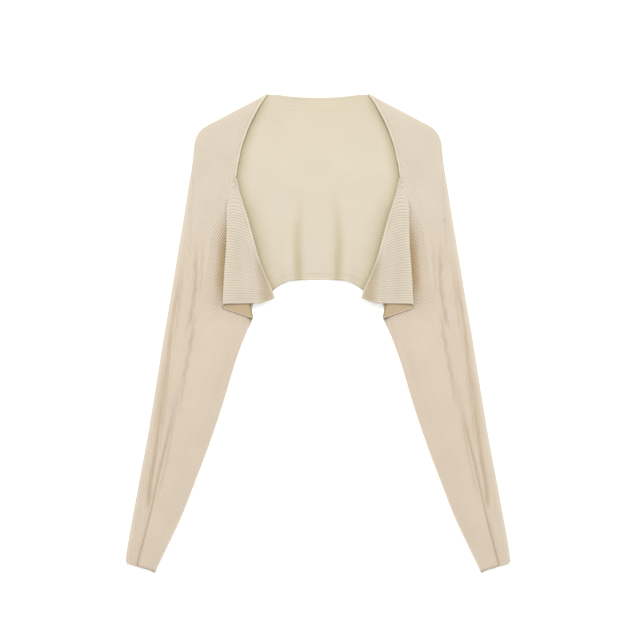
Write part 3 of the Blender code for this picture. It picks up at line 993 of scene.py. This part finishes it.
def clearness(grid: Array, count: Array) -> Array:
    """How plainly ribs show over a grid, from 0 to 1.

    They fade where they crowd, where they spread out, and where they meet the overarm seam.

    Args:
        grid: points in (out, down, height).
        count: how many ribs lie before each of them.

    Returns:
        The share at each point.
    """
    (down, across), (by_down, by_across) = np.gradient(grid, axis=(0, 1)), np.gradient(count)
    square_down, square_across = (down**2).sum(axis=-1), (across**2).sum(axis=-1)
    both = (down * across).sum(axis=-1)
    area = np.maximum(square_down * square_across - both**2, 1e-4)
    found = square_across * by_down**2 - 2 * both * by_down * by_across
    found += square_down * by_across**2
    per_mm = np.sqrt(np.maximum(found, 0) / area)
    away = LINES.overarm_seam.nearest(grid[..., :2])[0]
    return ease(*CROWDED, per_mm) * ease(*SPREAD_OUT, per_mm) * ease(*OFF_SEAM, away)


def knit_places(grid: Array, count: Array) -> Array:
    """The knit's own coordinates over a grid.

    Args:
        grid: points in (out, down, height).
        count: how many ribs lie before each of them.

    Returns:
        Millimetres along each row, and ribs across.
    """
    steps = np.linalg.norm(np.diff(grid, axis=1), axis=2).cumsum(axis=1)
    along = np.concatenate([np.zeros((len(grid), 1)), steps], axis=1)
    return np.stack([along, np.broadcast_to(count, along.shape)], axis=-1)


def seam_groove(places: Array) -> tuple[Array, Array]:
    """The groove of the overarm seam, which shows from the elbow down.

    Args:
        places: places in (out, down).

    Returns:
        How deep and how dark it is at each place.
    """
    away, down = LINES.overarm_seam.nearest(places)[0], places[..., 1]
    clear = ease(*SEAM_STARTS, down)
    dark = SEAM_SHADE + SEAM_SHADE_RISE * ease(*SEAM_DARKENS, down)
    sink = SEAM_DEPTH * bump(away, 0, SEAM_HALF_WIDTH) * clear
    return sink, dark * bump(away, 0, SHADE_HALF_WIDTH) * clear


class Column(NamedTuple):
    """A line of points down a front: its places in (out, down), its heights and its tones.

    Its ribs follow those of the flap where in_sleeve is 0, and those of the sleeve where it is 1.
    """

    places: Array
    height: Array | float
    shade: Array | float
    tint: Array | float
    contrast: Array | float
    in_sleeve: float


@dataclass
class FrontPlan:
    """The plan of a front, whose lines have a place in (out, down) for each row.

    Attributes:
        top: the share of the way from the free edge to the seam where the pleat begins.
        below: how far below the pleat's top each row is, from 0 to 1.
        tint: how far each row has the sleeve's tone.
        edge: the free front edge.
        fold: the pleat's outer edge, led on above its top.
        outer: where the flap ends and the pleat's outer turn begins.
        inner: where the pleat's inner turn ends and the sleeve begins.
        seam: the overarm seam.
    """

    top: float
    below: Array
    tint: Array
    edge: Array
    fold: Array
    outer: Array
    inner: Array
    seam: Array

    def opened(self, shares: Array) -> Array:
        """The unfolded columns, whose rows are arches over the pleat's top.

        Args:
            shares: how far each column is on the way from the free edge to the seam.

        Returns:
            A grid of places, one column for each share.
        """
        top, rest = self.top, 1 - self.top
        peak = (self.fold - rest**2 * self.edge - top**2 * self.seam) / (2 * top * rest)
        edge, seam, peak = (line[:, None] for line in (self.edge, self.seam, peak))
        t = shares[:, None]
        return (1 - t) ** 2 * edge + t**2 * seam + 2 * t * (1 - t) * peak


@dataclass
class FrontPiece:
    """One front: the flap with its free edge, the pleat and the underside of the sleeve.

    Rows follow the ribs from the free edge to the overarm seam and are told by their share, 0 at
    the top of the front edge and 1 at the hem and the cuff. Columns, or stations, run down them.
    """

    side: Side
    ribs: int = 48
    row_count: int = 500
    row_spread: Table = ((0, 0), (0.25, 0.13), (1, 1))
    flap_stations: int = 28
    flap_widening: float = 1.8
    sleeve_stations: int = 40
    sleeve_widening: float = 1.4
    hidden_stations: int = 5
    turn_angles: tuple[float, ...] = (22.5, 45, 67.5, 90, 112.5, 135, 157.5)
    relief: Ribs = Ribs()
    relief_range: Span = (0.6, 0.8)

    # The pleat: where its top is, and how its fold lines meet the rows
    pleat_top_row: float = 0.13
    pleat_top_share: float = 0.6
    pleat_top_spread: float = 0.06
    pleat_fade_rows: Span = (0.10, 0.27)
    pleat_hem_shift: float = 6.5

    # Where the rows lie on the front edge, the pleat's inner fold and the overarm seam
    edge_rows: Table = (
        (0, 0.005), (0.13, 0.16), (0.35, 0.42), (0.565, 0.69), (0.78, 0.87), (1, 1))
    inner_rows: Table = ((0.13, 0), (0.4, 0.37), (0.65, 0.70), (1, 1))
    seam_rows: Table = (
        (0, 1), (0.06, 28), (0.13, 78), (0.2, 124), (0.3, 168), (0.4, 204),
        (0.5, 242), (0.65, 312), (0.8, 455), (0.9, 565), (0.96, 612))

    # The ribs: those of the sleeve, and the bow of those of the flap
    sleeve_rib_pitch: float = 4.0
    sleeve_rib_leans: Table = (
        (-10, 0.36), (120, 0.30), (170, 0.55), (220, 0.75), (310, 0.74), (380, 0.60),
        (450, 0.53), (720, 0.50))
    rib_bow: float = 12.0
    bow_rows: Band = (0, 0.2, 0.75, 1)
    hem_easing: float = 4.0
    hem_welt: float = 0.5

    # Tones, with painted shade and painted highlight: by the row, by the share of the pleat's
    # turn, from the pleat's edge, and by depth. The turn and the hidden layers get painted shade,
    # the pleat's edge and the hem rows a painted highlight, and the hollow beside the pleat
    # painted shade with plainer ribs
    tint_rows: Span = (0.02, 0.3)
    flap_contrast: float = 0.52
    hidden_contrast: float = 0.5
    hidden_shade: float = 0.75
    pleat_rim: float = 0.3
    pleat_rim_reach: float = 2.0
    turn_darkens: Span = (1 / 3, 1)
    hollow_shade: float = 0.9
    hollow_beside: Span = (17, 3)
    hollow_downs: Band = (165, 235, 270, 325)
    contrast_range: Span = (0.24, 0.96)
    contrast_beside: Span = (46, 6)
    contrast_downs: Band = (140, 225, 300, 350)
    hem_rim_rows: int = 2

    # The cloth, in metres and square metres
    flat: Span = (0.215, 0.605)
    area: float = 0.05

    @property
    def node(self) -> str:
        """The name of the solid that the piece stands for."""
        return f"front_{self.side.name.lower()}"

    def build(self) -> Piece:
        """Builds the front as a fine grid of rows along the ribs.

        Returns:
            The piece.
        """
        rows = along_table(self.row_spread, np.linspace(0, 1, self.row_count))
        plan = self.plan(rows)
        flap = widening(self.flap_stations, self.flap_widening)
        sleeve = 1 - widening(self.sleeve_stations, self.sleeve_widening)[::-1]
        pleat = self.pleat_columns(plan)
        columns = [self.flap_column(plan, share) for share in flap] + pleat
        columns += [self.sleeve_column(plan, share) for share in sleeve]
        in_flap, in_sleeve = plan.top - self.pleat_top_spread, plan.top + self.pleat_top_spread
        hidden = np.linspace(in_flap, in_sleeve, len(pleat) + 2)[1:-1]
        shares = [in_flap * flap, hidden, in_sleeve + (1 - in_sleeve) * sleeve]
        return self.finish(columns, plan.opened(np.concatenate(shares)), rows)

    def plan(self, rows: Array) -> FrontPlan:
        """Lays out the rows between the front edge, the pleat's folds and the seam.

        Args:
            rows: the rows' shares of the way down.

        Returns:
            The plan.
        """
        below = np.clip((rows - self.pleat_top_row) / (1 - self.pleat_top_row), 0, 1)
        to_cuff = PlanLine(OVERARM_SEAM, CUFF[1:])
        walked = along_table((*self.seam_rows, (1, to_cuff.length)), rows)
        seam = to_cuff.at_length(walked) - (SEAM_GAP / 2, 0)
        edge = LINES.front_edge.at(along_table(self.edge_rows, rows))
        fold = edge + (seam - edge) * self.pleat_top_share
        to_pleat = LINES.pleat_edge.at(below) - fold
        fold += to_pleat * ease(0, self.pleat_top_row, rows)[:, None]
        turn = (PLEAT_TURN + WALL / 2, 0)
        inner = LINES.pleat_inner.at(along_table(self.inner_rows, rows))
        inner = np.where(rows[:, None] < self.pleat_top_row, fold, inner) + turn
        tint = ease(*self.tint_rows, rows)
        return FrontPlan(self.pleat_top_share, below, tint, edge, fold, fold - turn, inner, seam)

    def flap_column(self, plan: FrontPlan, share: float) -> Column:
        """A column of the flap.

        Args:
            plan: the front's plan.
            share: how far the column is on the way from the free edge to the pleat.

        Returns:
            The column.
        """
        places = plan.edge + (plan.outer - plan.edge) * share
        to_hem = LINES.flap_hem.at(share) - places[-1]
        to_hem = to_hem * min(1, self.hem_easing * (1 - share))
        places += np.outer(plan.below**3, to_hem)
        places[:, 1] -= self.rib_bow * share * (1 - share) * within(self.bow_rows, plan.below)
        from_edge = LINES.front_edge.nearest(places)[0]
        from_hem = LINES.flap_hem.nearest(places)[0]
        from_pleat = np.linalg.norm(plan.outer - places, axis=1)
        folds, shade = LAY.folds(Layer.FLAP, places)
        height = SLEEVE_MID + 4 * PLEAT_TURN + folds + LAY.uneven(places)
        height -= LAY.flap_drop * np.exp(-from_edge / LAY.flap_bend)
        height += LAY.self_edge(from_edge) + self.hem_welt * LAY.self_edge(from_hem)
        # Painted highlight along the free edge and beside the pleat's edge
        shade += LAY.rim_highlight(from_edge) - self.pleat_rim * bump(from_pleat, 0, self.pleat_rim_reach)
        return Column(places, height, shade, 0, self.flap_contrast, in_sleeve=0)

    def pleat_columns(self, plan: FrontPlan) -> list[Column]:
        """The pleat, round its outer edge, back under the flap and round inside.

        Args:
            plan: the front's plan.

        Returns:
            Its columns in this order.
        """
        found, middle = [], SLEEVE_MID + 2 * PLEAT_TURN
        drop = np.outer(plan.below**4, (0, self.pleat_hem_shift))
        turns = [math.radians(angle) for angle in self.turn_angles]
        for turn in turns:
            places = plan.outer + drop * (turn / math.pi) + (PLEAT_TURN * math.sin(turn), 0)
            height = middle + PLEAT_TURN * (1 + math.cos(turn))
            # Painted highlight at the start of the pleat's outer turn, painted shade deeper round
            # it
            dark = float(ease(*self.turn_darkens, turn / math.pi))
            shade = (1 + self.pleat_rim) * dark - self.pleat_rim
            found.append(Column(places, height, shade, 0, self.flap_contrast, in_sleeve=0))
        # Painted shade on the hidden layers under the flap and in the inner turn
        under, inside = plan.outer + drop, (plan.tint, self.hidden_contrast)
        for share in np.linspace(0, 1, self.hidden_stations):
            places = under + (plan.inner - under) * share
            found.append(Column(places, middle, self.hidden_shade, *inside, in_sleeve=share))
        for turn in turns:
            places = plan.inner - (PLEAT_TURN * math.sin(turn), 0)
            height = SLEEVE_MID + PLEAT_TURN * (1 + math.cos(turn))
            found.append(Column(places, height, 1, *inside, in_sleeve=1))
        return found

    def sleeve_column(self, plan: FrontPlan, share: float) -> Column:
        """A column of the sleeve.

        Args:
            plan: the front's plan.
            share: how far the column is on the way from the pleat to the seam.

        Returns:
            The column.
        """
        last = plan.inner[-1] + (LINES.underarm.at(1) - plan.inner[-1]) * share
        places = plan.inner + (plan.seam - plan.inner) * share
        places += np.outer(ease(0, 1, plan.below) ** 2, LINES.underarm.at(share) - last)
        down = places[:, 1]
        beside = places[:, 0] - LINES.pleat_edge.out_at(down)
        # Painted shade in the hollow beside the pleat, where the ribs also show more plainly
        hollow = ease(*self.hollow_beside, beside) * within(self.hollow_downs, down)
        clear = ease(*self.contrast_beside, beside) * within(self.contrast_downs, down)
        least, more = self.contrast_range
        height, shade = LAY.sleeve(places)
        sink, seam_shade = seam_groove(places)
        shade = np.maximum(np.maximum(shade, self.hollow_shade * hollow), seam_shade)
        return Column(places, height - sink, shade, plan.tint, least + more * clear, in_sleeve=1)

    def finish(self, columns: list[Column], plain: Array, rows: Array) -> Piece:
        """Folds the columns from the pleat's top down, and makes the piece with its ribs.

        Args:
            columns: the columns with the pleat folded.
            plain: the places of the same columns where it isn't.
            rows: the rows' shares of the way down.

        Returns:
            The piece.
        """
        places, *values, in_sleeve = zip(*columns)
        height, shade, tint, contrast = (
            np.stack([np.broadcast_to(one, len(rows)) for one in value], axis=1)
            for value in values)
        pleated = np.concatenate([np.stack(places, axis=1), height[..., None]], axis=-1)
        height = LAY.sleeve(plain)[0] + LAY.self_edge(LINES.front_edge.nearest(plain)[0])
        plain = np.concatenate([plain, height[..., None]], axis=-1)
        folded = ease(*self.pleat_fade_rows, rows)[:, None]
        grid = plain + (pleated - plain) * folded[..., None]
        shade = shade * folded**2
        # Painted highlight on the last rows at the hem
        hem = slice(-self.hem_rim_rows, None)
        shade[hem] = np.minimum(shade[hem], -LAY.rim_light)
        leaning = leaning_ribs(grid[..., :2], self.sleeve_rib_leans, self.sleeve_rib_pitch)
        follows = np.array(in_sleeve)
        count = (rows * self.ribs)[:, None] * (1 - follows) + leaning * follows
        clear = clearness(grid, count)
        least, more = self.relief_range
        rise = self.relief.rise(count) * (least + more * contrast) * clear
        tone = np.stack([shade, tint, np.zeros_like(shade), contrast * clear], axis=-1)
        points = grid + normals_of(grid) * rise[..., None]
        sheet = Sheet()
        sheet.grid(sheet.add(points, knit_places(grid, count), tone))
        return sheet.make(f"{self.node}_knit", [self.side.value], FRONT_KNIT)

    def dress(self, piece: Piece) -> None:
        """Ties the front to the frame."""
        dress(piece, self.node)


@dataclass
class BackPiece:
    """The back from cuff to cuff, with the yokes and overarms that wrap onto the front.

    The rows of the wrapped layer run from the neck edge to the cuff, each from the overarm seam
    to the fold edge and round it. The layer on the floor has level rows.
    """

    # The rows, and how far along the fold edge and the seam the last row of the yoke is
    yoke_rows: int = 150
    overarm_rows: int = 130
    shoulder_length: float = 134.0
    seam_to_shoulder_row: float = 270.0
    upper_stations: int = 36
    upper_widening: float = 1.4
    turn_angles: tuple[float, ...] = (60, 30, 0, -30, -60)
    neck_edge_reach: float = 60.0

    # The ribs of the wrapped layer, and where they start beside the fold edge
    upper_rib_pitch: float = 3.4
    upper_rib_leans: Table = (
        (-10, 0.42), (120, 0.32), (220, 0.20), (320, 0.08), (720, 0))
    relief: Ribs = Ribs()
    ribs_from_fold: Span = (2, 8)

    # Its tones: the sleeve's tone by depth, less of it at a middle and a half width from the fold
    # edge, and a painted highlight along the fold edge, with a little painted shade near the top
    sleeve_tone_downs: Span = (130, 260)
    fold_tone: float = 0.9
    fold_tone_at: Span = (1, 5)
    fold_rim: Span = (-0.1, 0.5)
    fold_rim_downs: Span = (80, 180)
    fold_rim_at: Span = (0.5, 3.2)
    contrast: float = 0.34
    sleeve_contrast_loss: float = 0.02

    # The layer on the floor: its ribs, its rows and its stations
    rib_pitch: float = 3.72
    first_rib: float = 3.0
    rows_per_rib: int = 4
    fine_to: float = 336.0
    coarse_step: float = 9.0
    column_step: float = 5.5
    side_margin: float = 1.0
    back_relief: Ribs = Ribs(height=0.13)
    back_contrast: float = 0.05
    relief_from_side: Span = (0, 6)
    top_welt: float = 0.5

    # Lines of stitches as (distance, half width, shade), from the hem and from the neck edge
    hem_lines: tuple[tuple[float, float, float], ...] = ((9, 0.9, 0.4), (5, 0.8, 0.3))
    neck_lines: tuple[tuple[float, float, float], ...] = (
        (5, 1, 0.25), (9, 1, 0.25), (14, 1, 0.25), (20, 1, 0.25))

    # The cloth, in metres and square metres
    flat: Span = (0.62, 0.735)
    area: float = 0.25

    def build(self) -> Piece:
        """Builds the wrapped layer, its turn round to the back, and the layer on the floor.

        Returns:
            The piece.
        """
        sheet = Sheet()
        rows = np.linspace(0, 1, self.yoke_rows + self.overarm_rows + 1)
        bends = (0, self.yoke_rows / (self.yoke_rows + self.overarm_rows), 1)
        to_cuff = PlanLine(OVERARM_SEAM, CUFF[1::-1])
        fold_ends, seam_ends = LINES.fold.length - CUFF_CORNER, to_cuff.length - CUFF_CORNER
        walked = np.interp(rows, bends, (0, self.shoulder_length, fold_ends))
        outward = LINES.fold.left_of(walked / LINES.fold.length)
        axis = LINES.fold.at_length(walked) - outward * (EDGE_TURN + WALL / 2)
        along_seam = np.interp(rows, bends, (0, self.seam_to_shoulder_row, seam_ends))
        at_seam = to_cuff.at_length(along_seam) + (SEAM_GAP / 2, 0)
        near_neck = np.exp(-walked / self.neck_edge_reach)
        columns, tones = [], []
        for share in widening(self.upper_stations, self.upper_widening):
            places = at_seam + (axis - at_seam) * share
            to_neck = LINES.neck_edge.at(1 - share) - places[0]
            to_neck -= (LINES.neck_edge.at(1) - at_seam[0]) * (1 - share) ** 4
            to_neck -= (LINES.neck_edge.at(0) - axis[0]) * share**8
            places += np.outer(near_neck, to_neck)
            height, shade = LAY.sleeve(places)
            sink, seam_shade = seam_groove(places)
            from_neck = LINES.neck_edge.nearest(places)[0]
            height += LAY.self_edge(from_neck) - sink
            columns.append(np.column_stack([places, height]))
            # Painted highlight along the neck edge
            tones.append(self.tone(places, np.maximum(shade, seam_shade) + LAY.rim_highlight(from_neck)))
        for angle in self.turn_angles:
            turned = math.radians(angle)
            places = axis + outward * EDGE_TURN * math.cos(turned)
            height = np.full(len(rows), BACK_MID + EDGE_TURN * (1 + math.sin(turned)))
            columns.append(np.column_stack([places, height]))
            tones.append(self.tone(places, np.zeros(len(rows))))
        grid, tone = np.stack(columns, axis=1), np.stack(tones, axis=1)
        count = leaning_ribs(grid[..., :2], self.upper_rib_leans, self.upper_rib_pitch)
        from_fold = LINES.fold.nearest(grid[..., :2])[0]
        clear = clearness(grid, count) * ease(*self.ribs_from_fold, from_fold)
        rise = self.relief.rise(count) * clear
        knit = knit_places(grid, count)
        tone[..., 3] *= clear
        wrap = sheet.add(grid + normals_of(grid) * rise[..., None], knit, tone)
        sheet.grid(wrap)
        self.add_floor_layer(sheet, wrap[:, -1], axis)
        return sheet.make(BACK_NAME, [side.value for side in Side], BACK_KNIT)

    def tone(self, places: Array, shade: Array) -> Array:
        """The tones of the wrapped layer.

        Args:
            places: places in (out, down).
            shade: the painted shade there, before the painted highlight along the fold edge.

        Returns:
            Rows of shade, sleeve tone, inner tone and the ribs' contrast.
        """
        from_fold, down = LINES.fold.nearest(places)[0], places[:, 1]
        plain_fold = self.fold_tone * bump(from_fold, *self.fold_tone_at)
        sleeve = ease(*self.sleeve_tone_downs, down) * (1 - plain_fold)
        # Painted highlight along the fold edge, turning to a little painted shade near the top
        least, more = self.fold_rim
        rim_highlight = more * ease(*self.fold_rim_downs, down) + least
        shade = shade - rim_highlight * bump(from_fold, *self.fold_rim_at)
        contrast = self.contrast - self.sleeve_contrast_loss * sleeve
        return np.column_stack([shade, sleeve, np.zeros_like(shade), contrast])

    def add_floor_layer(self, sheet: Sheet, turn: Array, axis: Array) -> None:
        """Adds the layer on the floor as level rows, and joins it to the turn.

        Args:
            sheet: the sheet that takes the points.
            turn: the numbers of the last points round the turn.
            axis: the line that the turn goes round, where this layer begins.
        """
        fine = np.arange(axis[0, 1], self.fine_to, self.rib_pitch / self.rows_per_rib)
        downs = np.concatenate([fine, np.arange(self.fine_to, LENGTH, self.coarse_step)])
        outer = np.vstack([axis, [CUFF[2]]])
        neck = LINES.back_neck.points[::-1]
        bottom = PlanLine(BACK_HEM, UNDERARM).points[PlanLine.STEPS:]
        at_neck, at_bottom, high_at = (
            np.interp(downs, line[:, 1], line[:, 0]) for line in (neck, bottom, outer))
        low_at = np.where(downs <= BACK_HEM[0][1], 0, at_bottom)
        low_at = np.where(downs < neck[-1, 1], at_neck, low_at)
        edge_numbers, before = [], None
        for down, low, high in zip(downs, low_at, high_at):
            outs = np.arange(0, high, self.column_step)
            outs = outs[(outs > low + self.side_margin) & (outs < high - self.side_margin)]
            outs = np.concatenate([[low], outs, [high]])
            numbers = self.add_floor_row(sheet, outs, down)
            if before is not None:
                sheet.zip(before[0], before[1], numbers, outs)
            before = (numbers, outs)
            edge_numbers.append(numbers[-1])
        joined = downs <= axis[-1, 1]
        sheet.zip(turn, axis[:, 1], np.array(edge_numbers)[joined], downs[joined])

    def add_floor_row(self, sheet: Sheet, outs: Array, down: float) -> Array:
        """Adds a level row of the layer on the floor.

        Args:
            sheet: the sheet that takes the points.
            outs: how far out they are.
            down: how far down the row is.

        Returns:
            The points' numbers.
        """
        places = np.column_stack([outs, np.full(len(outs), down)])
        height, shade = LAY.back(places)
        from_hem = LINES.back_hem.nearest(places)[0]
        from_top = LINES.back_neck.nearest(places)[0]
        welt = LAY.self_edge(from_hem) + self.top_welt * LAY.self_edge(from_top)
        lines = sum(dark * bump(from_hem, at, half) for at, half, dark in self.hem_lines)
        lines += sum(dark * bump(from_top, at, half) for at, half, dark in self.neck_lines)
        count = np.full(len(outs), (down - self.first_rib) / self.rib_pitch)
        lift = self.back_relief.rise(count) if down < self.fine_to else np.zeros(len(outs))
        lift += self.back_relief.height * self.back_relief.level
        lift *= ease(*self.relief_from_side, outs[-1] - outs)
        points = np.column_stack([places, height + lift + np.maximum(welt, 0)])
        none, full = np.zeros(len(outs)), np.ones(len(outs))
        tone = np.column_stack([np.maximum(shade, lines), none, full, self.back_contrast * full])
        return sheet.add(points, np.column_stack([outs, count]), tone)

    def dress(self, piece: Piece) -> None:
        """Ties the back to the frame."""
        dress(piece, "back")


@dataclass
class Studio:
    """The pale floor, the soft lights and the camera straight above."""

    camera_height: float = 3.0
    view_width: float = 0.960
    view_middle: tuple[float, float] = (0.003, 0.0188)
    floor_size: float = 12.0
    floor_tone: Colour = (0.93, 0.93, 0.93)
    floor_glow: float = 0.18
    ambient: float = 1.04
    key_power: float = 52.0
    key_size: float = 1.2
    key_colour: Colour = (1.0, 0.99, 0.975)
    key_place: tuple[float, float, float] = (0, 2, 2.2)

    def build(self) -> None:
        """Builds the floor, the lights and the camera."""
        self.build_floor()
        self.build_lights()
        self.build_camera()

    def build_floor(self) -> None:
        """A wide plain floor that glows a little, so that it looks white all over."""
        half = self.floor_size / 2
        mesh = bpy.data.meshes.new("floor")
        corners = [(x * half, y * half, 0) for x, y in ((-1, -1), (1, -1), (1, 1), (-1, 1))]
        mesh.from_pydata(corners, [], [(0, 1, 2, 3)])
        paint = new_material(
            "pale floor", Base_Color=(*self.floor_tone, 1), Roughness=0.95, Specular_IOR_Level=0,
            Emission_Color=(1, 1, 1, 1), Emission_Strength=self.floor_glow)[0]
        mesh.materials.append(paint)
        floor = new_object("floor", mesh)

    def build_lights(self) -> None:
        """Soft light from all round, with a large lamp from the neck's side."""
        world = bpy.data.worlds.new("soft room")
        world.use_nodes = True
        sky = world.node_tree.nodes["Background"]
        sky.inputs["Color"].default_value = (1.0, 1.0, 1.0, 1.0)
        sky.inputs["Strength"].default_value = self.ambient
        bpy.context.scene.world = world
        lamp = bpy.data.lights.new("key", "AREA")
        lamp.energy = self.key_power
        lamp.size = self.key_size
        lamp.color = self.key_colour
        key = new_object("key", lamp)
        key.location = self.key_place
        key.rotation_euler = (-Vector(self.key_place)).to_track_quat("-Z", "Y").to_euler()
        bpy.context.scene.view_settings.view_transform = "Standard"

    def build_camera(self) -> None:
        """The camera, straight above the garment with the neck at the top of the picture."""
        lens = bpy.data.cameras.new("camera")
        lens.sensor_width = 36
        lens.lens = lens.sensor_width * self.camera_height / self.view_width
        lens.clip_end = 50
        camera = new_object("camera", lens)
        camera.location = (*self.view_middle, self.camera_height)
        bpy.context.scene.camera = camera


def main() -> None:
    """Builds the camera and lights first, then each piece of the garment."""
    logging.basicConfig(level=logging.INFO, format="%(name)s: %(message)s")
    Studio().build()
    for maker in (BackPiece(), FrontPiece(Side.LEFT), FrontPiece(Side.RIGHT)):
        maker.dress(maker.build())


if __name__ == "__main__":
    main()
